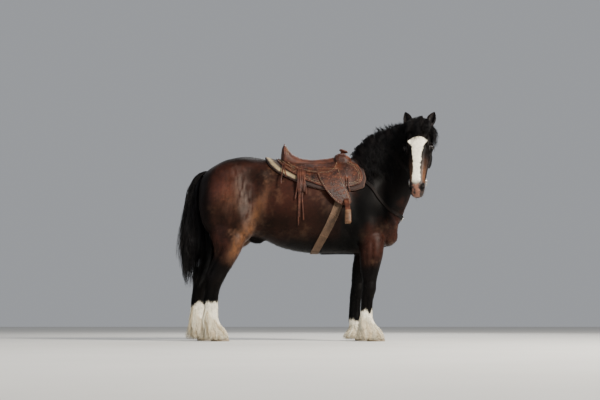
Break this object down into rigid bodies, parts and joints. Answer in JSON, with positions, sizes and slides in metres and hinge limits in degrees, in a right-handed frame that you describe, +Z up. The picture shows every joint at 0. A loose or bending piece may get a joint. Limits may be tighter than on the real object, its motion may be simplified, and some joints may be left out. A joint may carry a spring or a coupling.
{
  "type": "draught horse with western saddle",
  "caption": "Life-size standing draught horse with white feathered feet, its neck turned to its right, in a western saddle and bridle.",
  "frame": {"origin": "on the floor, under the middle of the bounding box seen from above", "axes": "+X towards the horse's chest, along the trunk; +Y to the horse's left; +Z up. The head is turned towards -Y"},
  "size_m": [2.4606, 1.0954, 2.1867],
  "materials": {
    "hide": "short glossy bay coat",
    "dark_hide": "short near-black coat with long black hair",
    "hair": "long coarse black hair",
    "white_hair": "long white hair",
    "hoof": "pale horn",
    "eye": "polished, opaque dark brown",
    "leather": "tooled brown leather",
    "dark_leather": "plain dark leather",
    "felt": "cream felt with a dark edge",
    "webbing": "woven tan webbing",
    "steel": "polished"
  },
  "bodies": {
    "root": {"torso": "hide", "neck": "dark_hide", "head": "dark_hide", "ear_left": "dark_hide", "ear_right": "dark_hide", "eye_left": "eye", "eye_right": "eye", "tail": "hair", "saddle_pad": "felt", "skirts": "leather", "seat": "leather", "horn": "leather", "girth": "webbing", "breast_collar": "dark_leather", "breast_strap": "dark_leather", "headstall": "dark_leather", "browband": "dark_leather", "throatlatch": "dark_leather", "foreleg_left_upper": "hide", "foreleg_left_lower": "white_hair", "hoof_fore_left": "hoof", "hindleg_left_upper": "hide", "hindleg_left_lower": "white_hair", "hoof_hind_left": "hoof", "fender_left": "leather", "stirrup_left": "leather", "stirrup_strap_left": "leather", "billet_left": "leather", "bit_left": "steel", "foreleg_right_upper": "hide", "foreleg_right_lower": "white_hair", "hoof_fore_right": "hoof", "hindleg_right_upper": "hide", "hindleg_right_lower": "white_hair", "hoof_hind_right": "hoof", "fender_right": "leather", "stirrup_right": "leather", "stirrup_strap_right": "leather", "billet_right": "leather", "bit_right": "steel"}
  },
  "joints": []
}
